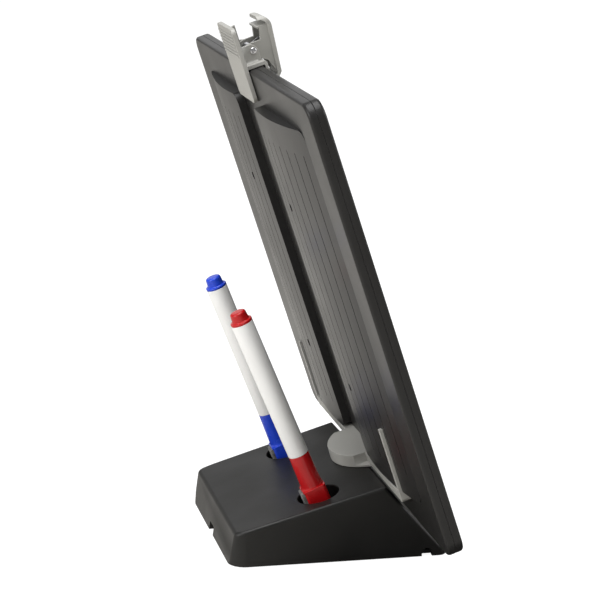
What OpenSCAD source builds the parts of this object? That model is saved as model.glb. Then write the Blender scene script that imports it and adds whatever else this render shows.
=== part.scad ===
// Desk whiteboard easel: a magnetic writing board on a weighted stand, with a
// spring clip on its top edge and two markers in pockets behind the board.
// The origin is at the middle of the stand's footprint, on the table. The writing
// face looks along -Y, the markers stand on the +Y side and +Z is up.

/* [Stand] */
// Depth of the stand from its front toe to its rear wall
base_depth = 112; // [104:1:124]
// Width of the stand at the rear
base_rear_width = 109; // [104:1:116]
// Width of the stand at the front toe
base_front_width = 119; // [116:1:128]
// Height of the rear wall's top edge
rear_height = 18; // [16:0.5:20]
// Height of the crest, where the top meets the front slope
crest_height = 39; // [37:0.5:42]
// Distance from the front toe back to the crest
crest_setback = 32.7; // [30:0.1:36]
// How far the rear wall leans in over its height
rear_lean = 2.6; // [0:0.1:4]
// Height of the upright toe below the front slope
toe_height = 1.8; // [1.4:0.1:2.4]
// Radius of the stand's rear corners
rear_corner_radius = 9; // [4:0.5:14]
// Radius of the stand's front corners
front_corner_radius = 4; // [2:0.5:8]
// Wall of the stand's shell
shell_wall = 2.5; // [2:0.1:3]
// Width of the arched notch in each side wall
side_notch_width = 5.4; // [4:0.1:8]
// Height of the arched notch in each side wall
side_notch_height = 4.8; // [4:0.1:7]
// Distance from the front toe back to the middle of the side notch
side_notch_setback = 10.6; // [9:0.1:14]
// Width of the notch in the rear wall
rear_notch_width = 10; // [6:0.5:14]
// Height of the notch in the rear wall
rear_notch_height = 5; // [3:0.5:6]

/* [Stand floor] */
// Thickness of the cover plate under the stand
floor_thickness = 2; // [1.6:0.1:2.4]
// Height of the cover plate's underside above the table
floor_lift = 1; // [0.8:0.1:1.4]
// Height of the shell's lower edge above the table
shell_lift = 0.5; // [0.3:0.1:0.7]
// Diameter of a rubber foot
foot_diameter = 10; // [8:0.5:12]
// Depth of the recess that a rubber foot sits in
foot_recess = 0.6; // [0.4:0.1:0.9]
// Distance of the rubber feet from the stand's outline
foot_inset = 14; // [12:0.5:18]
// Width of the steel ballast plate
ballast_width = 80; // [60:1:82]
// Depth of the steel ballast plate
ballast_depth = 70; // [50:1:72]
// Thickness of the steel ballast plate
ballast_thickness = 5.5; // [4:0.1:5.6]
// Distance of the floor screws from the stand's outline
screw_inset = 9; // [8.5:0.5:10]

/* [Marker pockets] */
// Diameter of a marker pocket
pocket_diameter = 22; // [20.5:0.5:24]
// Depth of a marker pocket
pocket_depth = 14.5; // [12:0.5:17]
// Distance between the two pockets
pocket_spacing = 76; // [72:1:80]
// Distance of the pockets behind the crest, along the sloping top
pocket_setback = 31.3; // [30:0.1:36]
// How far a marker stands behind the middle of its pocket
marker_offset = 1.2; // [0.5:0.1:1.4]
// How much further than its pocket the blue marker leans back, in degrees
blue_play = 6.1; // [2:0.1:8]
// How much further than its pocket the red marker leans back, in degrees
red_play = 7.1; // [2:0.1:8]

/* [Board] */
// Width of the board
board_width = 279; // [260:1:300]
// Height of the board
board_height = 229; // [210:1:250]
// Lean of the board from upright, in degrees
board_tilt = 18.1; // [16:0.1:20]
// Distance of the board's back plane in front of the crest
board_standoff = 6; // [5.8:0.1:7]
// How far the board's lower edge hangs below the crest
board_drop = 13; // [12:0.1:13.4]
// Radius of the board's corners
board_corner_radius = 8; // [4:0.5:14]
// Depth of the front frame, from the parting line to its face
frame_depth = 4.15; // [3.8:0.05:5]
// Depth of the back shell's edge, from the parting line to the back plane
shell_depth = 4.2; // [4:0.1:5]
// Width of the front frame's bezel
bezel_width = 8; // [6:0.5:12]
// Thickness of the front frame's lip over the sheet
bezel_lip = 1.4; // [1.2:0.1:1.8]
// Wall of the front frame and of the back shell
board_wall = 2; // [1.6:0.1:2.4]
// Thickness of the enamelled steel sheet
sheet_thickness = 0.5; // [0.4:0.1:0.8]

/* [Raised lobes] */
// Width of the flat channel between the two lobes
channel_width = 44; // [43:0.5:50]
// Width of one lobe
lobe_width = 91; // [88:0.5:96]
// Height of a lobe at its crest
lobe_height = 5.6; // [4.6:0.1:5.6]
// Distance from the channel to the crest of a lobe
lobe_crest = 28; // [20:0.5:34]
// Height of the lobes' lower ends above the board's lower edge
lobe_bottom = 20; // [19.6:0.1:26]
// Distance from the lobes' upper ends to the board's upper edge
lobe_top_margin = 16.5; // [15:0.5:20]
// Slope of the lobes' upper ends, in degrees
lobe_end_slope = 15; // [0:1:30]
// Slope of the lobes' lower ends, in degrees
lobe_foot_slope = 38; // [20:1:45]
// Radius of the lobes' corners, seen from behind
lobe_corner_radius = 6; // [2:0.5:10]
// Number of engraved lines along a lobe
groove_count = 7; // [3:1:7]
// Distance between the engraved lines
groove_pitch = 12; // [8:0.5:12]
// Distance from the channel to the first engraved line
groove_start = 10; // [8:0.5:12]
// Width of an engraved line
groove_width = 0.7; // [0.5:0.1:1]
// Depth of an engraved line
groove_depth = 0.5; // [0.3:0.1:0.8]
// Distance of the engraved lines' ends from the lobes' ends
groove_margin = 13; // [10:0.5:20]

/* [Support bracket] */
// Radius of the round flange that lies on the stand
flange_radius = 30.5; // [29:0.1:33]
// Thickness of the round flange
flange_thickness = 1.4; // [1:0.1:1.8]
// Distance of the flange's centre in front of the crest, along the sloping top
flange_advance = 16.5; // [15:0.1:18]
// Height of the block above the stand
block_height = 7; // [6:0.1:8]
// Width of the block across its flats
block_width = 41.4; // [38:0.1:42]
// Width of the plug under the block
plug_width = 22; // [16:0.5:26]
// Depth of the plug, front to back
plug_depth = 9; // [7:0.5:9.5]
// Length of the plug below the block
plug_length = 14; // [10:0.5:15]
// Distance of the plug behind the crest, along the sloping top
plug_setback = 6.4; // [6:0.1:7]
// Height of the shelf under the lobes
shelf_thickness = 5.2; // [4:0.1:5.4]
// How far the shelf stands out from the back plane
shelf_depth = 5; // [4:0.1:5]
// Distance between the outer faces of the two uprights
cradle_width = 177; // [170:1:184]
// Thickness of an upright
upright_thickness = 3; // [2.4:0.1:3.4]
// How far an upright stands out from the back plane
upright_depth = 5.1; // [5:0.1:5.6]
// Height of an upright above the shelf
upright_height = 35; // [28:1:45]
// Width of the plate behind the board, below the shelf
apron_width = 106; // [42:1:108]
// Thickness of that plate
apron_thickness = 3; // [2.6:0.1:3.2]
// Height of that plate's lower edge above the board's lower edge
apron_bottom = 9; // [8.6:0.1:12]

/* [Clip] */
// Width of the clip's rear plate
clip_width = 38; // [34:1:41]
// Width of the clip's hook
hook_width = 34; // [31:1:34]
// Thickness of the clip's rear plate
clip_plate = 2.2; // [1.8:0.1:2.4]
// Gap between the rear plate and the board's back plane
clip_plate_gap = 0.3; // [0.3:0.1:0.9]
// How far the rear plate reaches down over the board's back
clip_reach = 16.2; // [14:0.2:20]
// Height of the rear plate's top above the board's upper edge
clip_rise = 22.5; // [21:0.1:24]
// Thickness of the hook that lies on the board's upper edge
hook_thickness = 2; // [1.8:0.1:2.2]
// Thickness of the hook's lip in front of the board
hook_lip = 1.6; // [1.2:0.1:1.8]
// How far the hook's lip reaches down over the board's face
hook_drop = 3; // [2:0.1:5]
// Width across the outer faces of the two side cheeks
cheek_span = 24.8; // [23:0.2:27]
// Thickness of a side cheek
cheek_thickness = 2; // [1.6:0.1:2.2]
// Height of the side cheeks above the board's upper edge
cheek_height = 11.4; // [11:0.1:12]
// Depth of the side cheeks in front of the rear plate
cheek_depth = 8.9; // [8.6:0.1:9.2]
// Radius of the fillet between a cheek and the hook
cheek_fillet = 1.6; // [1:0.1:2]
// Diameter of the pivot pin
pin_diameter = 2.5; // [2.2:0.1:2.8]
// Height of the pivot pin above the board's upper edge
pin_height = 7.9; // [7.8:0.1:8.2]
// Distance of the pivot pin in front of the rear plate
pin_advance = 6.3; // [6:0.1:6.4]
// Thickness of the lever's skin
lever_skin = 2.2; // [1.8:0.1:2.4]
// Height of the lever's top above the board's upper edge
lever_rise = 23; // [22.6:0.1:24]
// Radius of the lever's rounded top
lever_top_radius = 6; // [5.4:0.1:6.6]
// Distance of the lever's front from the board's face, at the top
lever_bulge = 10.95; // [10.6:0.05:11.4]
// Distance of the lever's front from the board's face, above the jaw
lever_waist = 8.65; // [8.2:0.05:9]
// Depth of the lever's hollow back, from the skin's front to the rear edge of its walls
lever_depth = 7.6; // [7:0.1:8]
// Number of grip ribs on the rear plate
grip_count = 7; // [3:1:8]
// Distance between the grip ribs
grip_pitch = 1.8; // [1.4:0.1:1.8]
// Height of a grip rib
grip_height = 0.4; // [0.2:0.1:0.6]

/* [Clip spring] */
// Number of curls in the spring
spring_curls = 6; // [4:1:8]
// Thickness of the spring's wire
wire_diameter = 1; // [0.8:0.1:1.1]
// Distance from one curl to the next
spring_pitch = 1.6; // [1.55:0.05:1.8]
// Radius of the curls, to the middle of the wire
spring_radius = 2.2; // [2.1:0.1:2.4]

/* [Markers] */
// Side of the square collar on the cap
collar_side = 12.2; // [11.6:0.1:12.6]
// Length of the square collar
collar_length = 20.5; // [19:0.5:22]
// Diameter of the round part of the cap
cap_diameter = 10.6; // [10.3:0.1:11]
// Length of the whole cap
cap_length = 38.2; // [37:0.1:42]
// Thickness of the felt pad
felt_thickness = 1.8; // [1.4:0.1:2.2]
// Depth of the seat that the felt pad is glued into
felt_seat = 0.6; // [0.4:0.1:0.8]
// Diameter of the barrel next to the cap
barrel_diameter = 10.7; // [10.5:0.1:11.2]
// Diameter of the barrel at its far end
barrel_end_diameter = 11.3; // [11.2:0.1:12]
// Length of the barrel that shows
barrel_length = 76; // [68:0.5:82]
// Wall of the barrel
barrel_wall = 1.1; // [0.9:0.1:1.2]
// Length of the neck that slides into the cap
neck_length = 10; // [8:0.5:11]
// Thickness of the end plug's flange
flange_height = 1.4; // [1.2:0.1:2]
// Height of the end plug above its flange
knob_height = 4.8; // [4:0.1:6]
// Diameter of the end plug above its flange
knob_diameter = 8.8; // [8:0.1:9.4]
// Diameter of the nib
nib_diameter = 3; // [2.6:0.1:3.4]
// Length of the nib that shows under its holder
nib_length = 4; // [3:0.1:4.4]

/* [Hidden] */

$fn = 48;

// One named overrun for every cut
overrun = 1;
// Gap under and beside a piece that rests in its seat
seat_gap = 0.3;
// Radial gap of a pin that turns in its bores
running_gap = 0.05;
// Side gap of a plug in its socket
plug_gap = 0.25;
// Steps in the rounding of an outline's corner
corner_steps = 6;

// Colours
black_plastic = [0.16, 0.16, 0.17];
dark_floor = [0.11, 0.11, 0.12];
light_grey = [0.74, 0.74, 0.71];
clip_grey = [0.78, 0.77, 0.72];
steel = [0.68, 0.69, 0.71];
rubber = [0.07, 0.07, 0.07];
enamel = [0.95, 0.95, 0.94];
panel_brown = [0.62, 0.5, 0.36];
barrel_white = [0.93, 0.93, 0.92];
felt_grey = [0.62, 0.62, 0.6];
ink_blue = [0.11, 0.14, 0.5];
ink_red = [0.76, 0.05, 0.09];
fibre_white = [0.9, 0.89, 0.85];

// Stand
foot_y = -base_depth / 2;
crest_y = foot_y + crest_setback;
rear_top_y = base_depth / 2 - rear_lean;
top_slope = atan2(crest_height - rear_height, rear_top_y - crest_y);
floor_gap = 0.2;
floor_top = floor_lift + floor_thickness;
socket_wall = 2;
socket_extra = 0.8;
ballast_y = 4;

// Fasteners
screw_radius = 1.25;
screw_head_radius = 2.6;
screw_head_height = 1.2;
boss_radius = 3.2;
base_screw_bite = 8;
shell_screw_x = 45.5;
shell_screw_low = 65;
shell_screw_high = 163.5;
shell_screw_radius = 1.3;
shell_screw_head_radius = 2.1;
shell_screw_head_height = 1.4;
shell_screw_seat = 0.2;
shell_screw_bite = 3;
shell_boss_radius = 4;
bracket_screw_x = 14;
bracket_screw_radius = 1.2;
bracket_screw_head_radius = 2.4;
bracket_screw_head_height = 0.9;
bracket_screw_low = 11.7;
bracket_screw_high = 16.9;
bracket_screw_bite = 2.2;

// Board
board_y = crest_y - board_standoff * cos(board_tilt) - board_drop * sin(board_tilt);
board_z = crest_height + board_standoff * sin(board_tilt) - board_drop * cos(board_tilt);
board_thickness = frame_depth + shell_depth;
board_face = -board_thickness;
sheet_front = board_face + bezel_lip;
core_front = sheet_front + sheet_thickness;
core_back = -board_wall;
inside_gap = 0.5;

// Lobes
lobe_inner_x = channel_width / 2;
lobe_outer_x = lobe_inner_x + lobe_width;
lobe_crest_x = lobe_inner_x + lobe_crest;
lobe_top = board_height - lobe_top_margin;
lobe_arc_radius = (pow(lobe_width - lobe_crest, 2) + pow(lobe_height, 2)) / (2 * lobe_height);
cavity_outer_x = cradle_width / 2 - upright_thickness - 3 * board_wall / 2;
cavity_margin = 4;
slot_gap = 0.3;

// Support bracket
flange_y = -flange_advance;
shelf_top = lobe_bottom - 2 * seat_gap;
shelf_bottom = shelf_top - shelf_thickness;
cradle_corner_radius = 2;

// Clip
clip_half = clip_width / 2;
plate_front = clip_plate_gap;
plate_rear = plate_front + clip_plate;
plate_bottom = board_height - clip_reach;
plate_top = board_height + clip_rise;
plate_corner_radius = 3;
plate_rib = 1.6;
plate_rib_depth = 3.2;
hook_under = board_height + seat_gap;
hook_top = hook_under + hook_thickness;
lip_inner = board_face - seat_gap;
lip_outer = lip_inner - hook_lip;
pin_y = plate_front - pin_advance;
pin_z = board_height + pin_height;
pin_radius = pin_diameter / 2;
pin_head_radius = 1.35 * pin_radius;
pin_head_height = 0.6;
cheek_half = cheek_span / 2;
cheek_front = plate_front - cheek_depth;
cheek_top = board_height + cheek_height;
cheek_corner_radius = 4;
lever_side_gap = 0.3;
lever_wall = 1.8;
lever_wall_inset = 1;
lever_half = cheek_half - cheek_thickness - lever_side_gap;
lever_wall_half = lever_half - lever_wall_inset;
lever_front_y = board_face - lever_bulge;
lever_top_y = lever_front_y + lever_top_radius;
lever_top = board_height + lever_rise;
lever_top_z = lever_top - lever_top_radius;
lever_top_end_angle = 88;
lever_corner_radius = 4;
lever_top_steps = 10;
lever_back_y = lever_front_y + lever_depth;
lever_boss_radius = 3.4;
lever_rib = 1.2;
lever_rib_z = lever_top_z + lever_rib;
waist_y = board_face - lever_waist;
waist_z = board_height - 7 * hook_drop / 3;
jaw_radius = 1.3;
jaw_y = lip_inner - jaw_radius;
jaw_z = plate_bottom + 2 * jaw_radius;
grip_width = grip_pitch / 2;
grip_margin = 1.5;

// Clip spring
wire_radius = wire_diameter / 2;
curl_rings = 8;
wire_sides = 6;
spring_length = spring_curls * spring_pitch;
spring_leg = 5.5;
spring_foot = 2;
spring_touch = 0.05;

// Markers
collar_corner_radius = 2;
cap_shoulder = 1.2;
cap_wall = 1.05;
cap_bore_radius = cap_diameter / 2 - cap_wall;
felt_margin = 1;
felt_width = collar_side - 2 * felt_margin;
neck_gap = 0.1;
neck_radius = cap_bore_radius - neck_gap;
neck_bore_radius = neck_radius - barrel_wall;
barrel_bore_radius = barrel_diameter / 2 - barrel_wall;
barrel_top = cap_length + barrel_length;
neck_bottom = cap_length - neck_length;
cap_edge_gap = 0.1;
holder_nose = 1.6;
holder_nose_length = nib_length / 2;
holder_length = 4;
nib_tip = neck_bottom - holder_nose_length - nib_length;
nib_room = 3;
cap_bore_bottom = nib_tip - nib_room;
core_gap = 0.2;
core_bottom = neck_bottom + holder_length;
spigot_length = 5;
knob_radius = knob_diameter / 2;
knob_edge = 1.2;
nib_tip_radius = 0.5;

// Unit vector along v
function unit(v) = v / norm(v);

// Points that round the corner p between its neighbours a and b with radius r
function corner_arc(a, p, b, r) =
    let (u = unit(a - p), w = unit(b - p), half = acos(u * w) / 2)
    let (centre = p + unit(u + w) * r / sin(half), reach = r / tan(half))
    let (from = p + u * reach - centre, to = p + w * reach - centre)
    [for (i = [0 : corner_steps]) centre + r * unit(from * (1 - i / corner_steps) + to * i / corner_steps)];

// Closed outline with a radius for each of its corners, where 0 keeps a corner sharp
function rounded(points, radii) =
    let (n = len(points))
    [for (i = [0 : n - 1])
        each radii[i] == 0 ? [points[i]]
            : corner_arc(points[(i + n - 1) % n], points[i], points[(i + 1) % n], radii[i])];

// Left-hand normal of the edge from a to b, which points into a counterclockwise outline
function inward(a, b) = let (d = unit(b - a)) [-d[1], d[0]];

// Outline moved inwards by the distance d along every edge
function inset(points, d) =
    let (n = len(points))
    [for (i = [0 : n - 1])
        let (before = inward(points[(i + n - 1) % n], points[i]))
        let (after = inward(points[i], points[(i + 1) % n]))
        points[i] + d * (before + after) / (1 + before * after)];

// Corners of a rectangle whose middle is at x = 0, from the height low to high
function upright_rectangle(width, low, high) =
    [[-width / 2, low], [width / 2, low], [width / 2, high], [-width / 2, high]];

// Height of a lobe above the back plane at the distance x from the board's middle
function lobe_rise(x) =
    sqrt(pow(lobe_arc_radius, 2) - pow(x - lobe_crest_x, 2)) - lobe_arc_radius + lobe_height;

// Frame of the stand's sloping top: its origin is the middle of the crest, +Y runs
// down the slope to the rear and +Z is square to it
module on_slope() {
    translate([0, crest_y, crest_height])
        rotate([-top_slope, 0, 0])
            children();
}

// Frame of the board: its origin is the middle of the lower edge on the back plane,
// +Y points to the rear, square to the board, and +Z runs up the board
module on_board() {
    translate([0, board_y, board_z])
        rotate([-board_tilt, 0, 0])
            children();
}

// Lean of a marker from the axis of its pocket, for the right pocket (1) or the left (-1)
function marker_play(side) = side > 0 ? blue_play : red_play;

// Length of a marker below the pocket's mouth, where its cap's front edge meets the pocket's floor
function marker_sunk(play) = (pocket_depth - seat_gap - collar_side / 2 * sin(play)) / cos(play);

// Frame of a marker: its origin is the middle of the cap's end, and +Z runs up the marker
module on_marker(side) {
    on_slope()
        translate([side * pocket_spacing / 2, pocket_setback + marker_offset, 0])
            rotate([-marker_play(side), 0, 0])
                translate([0, 0, -marker_sunk(marker_play(side))])
                    children();
}

// Flat shape in X and Z, thickened from y = near to y = far
module across_y(near, far) {
    translate([0, far, 0])
        rotate([90, 0, 0])
            linear_extrude(far - near)
                children();
}

// Flat shape in Y and Z, thickened from x = left to x = right
module across_x(left, right) {
    translate([left, 0, 0])
        rotate([90, 0, 90])
            linear_extrude(right - left)
                children();
}

// Block between two opposite corners
module block(low, high) {
    translate(low)
        cube(high - low);
}

// Side of the stand as points in Y and Z, with its lower edge at the height bottom
function side_outline(bottom) = [
    [foot_y, bottom],
    [base_depth / 2 + rear_lean * (shell_lift - bottom) / (rear_height - shell_lift), bottom],
    [rear_top_y, rear_height],
    [crest_y, crest_height],
    [foot_y, toe_height]
];

// Plan of the stand as points in X and Y
function plan_outline() = rounded(
    [
        [-base_front_width / 2, foot_y],
        [base_front_width / 2, foot_y],
        [base_rear_width / 2, base_depth / 2],
        [-base_rear_width / 2, base_depth / 2]
    ],
    [front_corner_radius, front_corner_radius, rear_corner_radius, rear_corner_radius]
);

// Wedge of the stand, moved inwards by the distance d, down to the height bottom
module base_form(d, bottom) {
    intersection() {
        across_x(-base_front_width, base_front_width)
            polygon(inset(side_outline(bottom), d));
        translate([0, 0, bottom])
            linear_extrude(crest_height - bottom + overrun)
                polygon(inset(plan_outline(), d));
    }
}

// Half the stand's width at the place y
function half_width(y) =
    (base_front_width + (base_rear_width - base_front_width) * (y - foot_y) / base_depth) / 2;

// Puts its child near each of the stand's four corners, at the distance d from the outline
module at_corners(d) {
    for (y = [foot_y + d, base_depth / 2 - d])
        for (side = [-1, 1])
            translate([side * (half_width(y) - d), y, 0])
                children();
}

module base_shell() {
    color(black_plastic)
        difference() {
            base_form(0, shell_lift);
            difference() {
                base_form(shell_wall, shell_lift - shell_wall - overrun);
                pocket_cups();
                socket_box();
                translate([0, 0, floor_top])
                    at_corners(screw_inset)
                        cylinder(r = boss_radius, h = crest_height);
            }
            pocket_holes();
            socket_hole();
            translate([0, 0, floor_top - overrun])
                at_corners(screw_inset)
                    cylinder(r = screw_radius, h = base_screw_bite + overrun);
            side_notches();
            rear_notch();
        }
}

// Outside of the two marker cups
module pocket_cups() {
    on_slope()
        for (side = [-1, 1])
            translate([side * pocket_spacing / 2, pocket_setback, -pocket_depth - shell_wall])
                cylinder(d = pocket_diameter + 2 * socket_wall, h = pocket_depth + shell_wall);
}

module pocket_holes() {
    on_slope()
        for (side = [-1, 1])
            translate([side * pocket_spacing / 2, pocket_setback, -pocket_depth])
                cylinder(d = pocket_diameter, h = pocket_depth + overrun);
}

// Box of the given size round the middle of the plug, from the sloping top down
module plug_box(width, depth, length, above) {
    on_slope()
        block(
            [-width / 2, plug_setback - depth / 2, -length],
            [width / 2, plug_setback + depth / 2, above]
        );
}

module socket_box() {
    room = 2 * (plug_gap + socket_wall);
    plug_box(plug_width + room, plug_depth + room, plug_length + socket_extra + socket_wall, 0);
}

module socket_hole() {
    plug_box(plug_width + 2 * plug_gap, plug_depth + 2 * plug_gap, plug_length + socket_extra, overrun);
}

// Arched notch through both side walls
module side_notches() {
    arch = side_notch_width / 2;
    across_x(-base_front_width, base_front_width)
        translate([foot_y + side_notch_setback, 0]) {
            translate([-arch, 0])
                square([side_notch_width, side_notch_height - arch]);
            translate([0, side_notch_height - arch])
                circle(r = arch);
        }
}

module rear_notch() {
    block(
        [-rear_notch_width / 2, base_depth / 2 - rear_lean - shell_wall, 0],
        [rear_notch_width / 2, base_depth / 2 + overrun, rear_notch_height]
    );
}

// Cover plate that closes the stand from below, with the feet's recesses
module base_floor() {
    color(dark_floor)
        difference() {
            intersection() {
                base_form(shell_wall + floor_gap, shell_lift - 2 * shell_wall);
                block([-base_depth, -base_depth, floor_lift], [base_depth, base_depth, floor_top]);
            }
            translate([0, 0, floor_lift - overrun]) {
                at_corners(foot_inset + foot_diameter / 2)
                    cylinder(d = foot_diameter + 2 * floor_gap, h = foot_recess + overrun);
                at_corners(screw_inset) {
                    cylinder(r = screw_radius + floor_gap, h = floor_thickness + 2 * overrun);
                    cylinder(r = screw_head_radius + floor_gap, h = screw_head_height + overrun);
                }
            }
        }
}

// Flat steel weight on the cover plate
module ballast_plate() {
    color(steel)
        translate([0, ballast_y, floor_top])
            linear_extrude(ballast_thickness)
                square([ballast_width, ballast_depth], center = true);
}

module base_feet() {
    color(rubber)
        at_corners(foot_inset + foot_diameter / 2)
            cylinder(d = foot_diameter, h = floor_lift + foot_recess);
}

// Pan-head screw that points up, with its head's underside at z = 0
module screw(radius, length, head_radius, head_height) {
    cylinder(r = radius, h = length);
    translate([0, 0, -head_height])
        cylinder(r = head_radius, h = head_height);
}

module base_screws() {
    color(steel)
        translate([0, 0, floor_lift + screw_head_height])
            at_corners(screw_inset)
                screw(
                    screw_radius,
                    floor_thickness - screw_head_height + base_screw_bite,
                    screw_head_radius,
                    screw_head_height
                );
}

// Grey moulding between the stand and the board
module support_bracket() {
    color(light_grey)
        difference() {
            union() {
                difference() {
                    on_slope() {
                        translate([0, flange_y, seat_gap])
                            cylinder(r = flange_radius, h = flange_thickness);
                        intersection() {
                            translate([0, flange_y, seat_gap])
                                cylinder(r = flange_radius, h = block_height - seat_gap);
                            block(
                                [-block_width / 2, flange_y - flange_radius, seat_gap],
                                [block_width / 2, flange_radius, block_height]
                            );
                        }
                    }
                    on_board()
                        block(
                            [-board_width / 2, -3 * flange_radius, -board_height],
                            [board_width / 2, 0, board_height]
                        );
                }
                plug_box(plug_width, plug_depth, plug_length, block_height / 2);
                on_board() {
                    across_y(0, apron_thickness)
                        polygon(upright_rectangle(apron_width, apron_bottom, shelf_top));
                    across_y(0, shelf_depth)
                        polygon(upright_rectangle(
                            cradle_width - 2 * cradle_corner_radius,
                            shelf_bottom,
                            shelf_top
                        ));
                    uprights();
                }
            }
            on_board()
                translate([0, -overrun, 0])
                    at_bracket_screws()
                        cylinder(r = bracket_screw_radius, h = bracket_screw_bite + overrun);
        }
}

// The two uprights with the rounded corners that join them to the shelf
module uprights() {
    across_y(0, upright_depth)
        difference() {
            polygon(rounded(
                upright_rectangle(cradle_width, shelf_bottom, shelf_top + upright_height),
                [cradle_corner_radius, cradle_corner_radius, 0, 0]
            ));
            polygon(rounded(
                upright_rectangle(
                    cradle_width - 2 * upright_thickness,
                    shelf_top,
                    shelf_top + upright_height + overrun
                ),
                [upright_thickness / 2, upright_thickness / 2, 0, 0]
            ));
            polygon(upright_rectangle(
                cradle_width - 4 * cradle_corner_radius,
                shelf_bottom - overrun,
                shelf_top + overrun
            ));
        }
}

// Puts its child at the hidden bracket screws, pointing out of the board's back
module at_bracket_screws() {
    for (z = [bracket_screw_low, bracket_screw_high])
        for (x = [-bracket_screw_x, bracket_screw_x])
            translate([x, 0, z])
                rotate([-90, 0, 0])
                    children();
}

module bracket_screws() {
    color(steel)
        on_board()
            translate([0, bracket_screw_head_height - board_wall, 0])
                at_bracket_screws()
                    screw(
                        bracket_screw_radius,
                        board_wall - bracket_screw_head_height + bracket_screw_bite,
                        bracket_screw_head_radius,
                        bracket_screw_head_height
                    );
}

// Outline of the board, moved inwards by the distance d
module board_outline(d) {
    r = max(board_corner_radius - d, board_wall / 2);
    polygon(rounded(
        upright_rectangle(board_width - 2 * d, d, board_height - d),
        [r, r, r, r]
    ));
}

// Puts its child at the right lobe and, mirrored, at the left one
module both_lobes() {
    for (side = [0, 1])
        mirror([side, 0, 0])
            children();
}

// Cross-section of the right lobe in X and Y, lowered by the distance d and cut off at outer
module lobe_section(d, outer) {
    intersection() {
        translate([lobe_crest_x, lobe_height - lobe_arc_radius])
            circle(r = lobe_arc_radius - d, $fn = 720);
        translate([lobe_inner_x + d, -overrun])
            square([outer - lobe_inner_x - d, lobe_height + 2 * overrun]);
    }
}

// Right lobe as a solid that stands on the back plane
module lobe() {
    difference() {
        intersection() {
            translate([0, 0, lobe_bottom])
                linear_extrude(lobe_top - lobe_bottom)
                    lobe_section(0, lobe_outer_x);
            across_y(-overrun / 2, lobe_height + overrun)
                translate([lobe_inner_x, 0])
                    polygon(rounded(
                        [[0, lobe_bottom], [lobe_width, lobe_bottom], [lobe_width, lobe_top], [0, lobe_top]],
                        [for (i = [0 : 3]) lobe_corner_radius]
                    ));
        }
        translate([0, 0, lobe_top])
            rotate([lobe_end_slope, 0, 0])
                block([0, -lobe_height, 0], [board_width, 4 * lobe_height, 2 * lobe_height]);
        translate([0, 0, lobe_bottom])
            rotate([-lobe_foot_slope, 0, 0])
                block([0, -lobe_height, -4 * lobe_height], [board_width, 4 * lobe_height, 0]);
    }
}

// Hollow under the right lobe, open to the inside of the board
module lobe_cavity() {
    translate([0, 0, lobe_bottom + 2 * cavity_margin])
        linear_extrude(lobe_top - lobe_bottom - 3 * cavity_margin) {
            lobe_section(board_wall, cavity_outer_x);
            translate([lobe_inner_x + board_wall, -board_wall - overrun])
                square([cavity_outer_x - lobe_inner_x - board_wall, board_wall + overrun]);
        }
}

// Engraved lines along the right lobe
module lobe_grooves() {
    for (i = [0 : groove_count - 1])
        let (x = lobe_inner_x + groove_start + i * groove_pitch)
            block(
                [x - groove_width / 2, lobe_rise(x) - groove_depth, lobe_bottom + groove_margin],
                [x + groove_width / 2, lobe_height + overrun, lobe_top - groove_margin]
            );
}

// Slot in the right lobe that the upright of the bracket stands in
module upright_slot() {
    block(
        [cradle_width / 2 - upright_thickness - slot_gap, 0, lobe_bottom - overrun],
        [cradle_width / 2 + slot_gap, lobe_height + overrun, shelf_top + upright_height + slot_gap]
    );
}

// Puts its child at the four holes in the lobes, pointing into the board
module at_shell_screws() {
    for (z = [shell_screw_low, shell_screw_high])
        for (x = [-shell_screw_x, shell_screw_x])
            translate([x, 0, z])
                rotate([90, 0, 0])
                    children();
}

module back_shell() {
    color(black_plastic)
        on_board()
            difference() {
                union() {
                    across_y(-board_wall, 0)
                        board_outline(0);
                    across_y(-shell_depth, -board_wall / 2)
                        difference() {
                            board_outline(0);
                            board_outline(board_wall);
                        }
                    difference() {
                        both_lobes()
                            lobe();
                        both_lobes()
                            lobe_grooves();
                    }
                }
                both_lobes()
                    upright_slot();
                difference() {
                    both_lobes()
                        lobe_cavity();
                    translate([0, lobe_height, 0])
                        at_shell_screws()
                            cylinder(r = shell_boss_radius, h = lobe_height + board_wall + overrun);
                }
                translate([0, lobe_height + overrun, 0])
                    at_shell_screws()
                        cylinder(
                            r = shell_screw_head_radius + running_gap,
                            h = lobe_height + overrun - shell_screw_seat
                        );
                translate([0, lobe_height, 0])
                    at_shell_screws()
                        cylinder(
                            r = shell_screw_radius + running_gap,
                            h = lobe_height + board_wall + overrun
                        );
                translate([0, -board_wall - overrun, 0])
                    at_bracket_screws() {
                        cylinder(r = bracket_screw_radius + running_gap, h = board_wall + 2 * overrun);
                        cylinder(
                            r = bracket_screw_head_radius + running_gap,
                            h = bracket_screw_head_height + overrun
                        );
                    }
            }
}

// Front bezel with the rebate that holds the sheet and the panel
module front_frame() {
    color(black_plastic)
        on_board()
            difference() {
                across_y(board_face, -shell_depth)
                    board_outline(0);
                across_y(board_face - overrun, -shell_depth + overrun)
                    board_outline(bezel_width);
                across_y(sheet_front, -shell_depth + overrun)
                    board_outline(board_wall);
            }
}

module whiteboard_sheet() {
    color(enamel)
        on_board()
            across_y(sheet_front, core_front)
                board_outline(board_wall + inside_gap);
}

// Stiff panel between the sheet and the back shell
module core_panel() {
    color(panel_brown)
        on_board()
            difference() {
                across_y(core_front, core_back)
                    board_outline(board_wall + inside_gap);
                translate([0, core_back + overrun, 0])
                    at_shell_screws()
                        cylinder(r = shell_screw_radius, h = shell_screw_bite + overrun);
            }
}

module shell_screws() {
    color(steel)
        on_board()
            translate([0, shell_screw_seat, 0])
                at_shell_screws()
                    screw(
                        shell_screw_radius,
                        shell_screw_seat + board_wall + shell_screw_bite,
                        shell_screw_head_radius,
                        shell_screw_head_height
                    );
}

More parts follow.
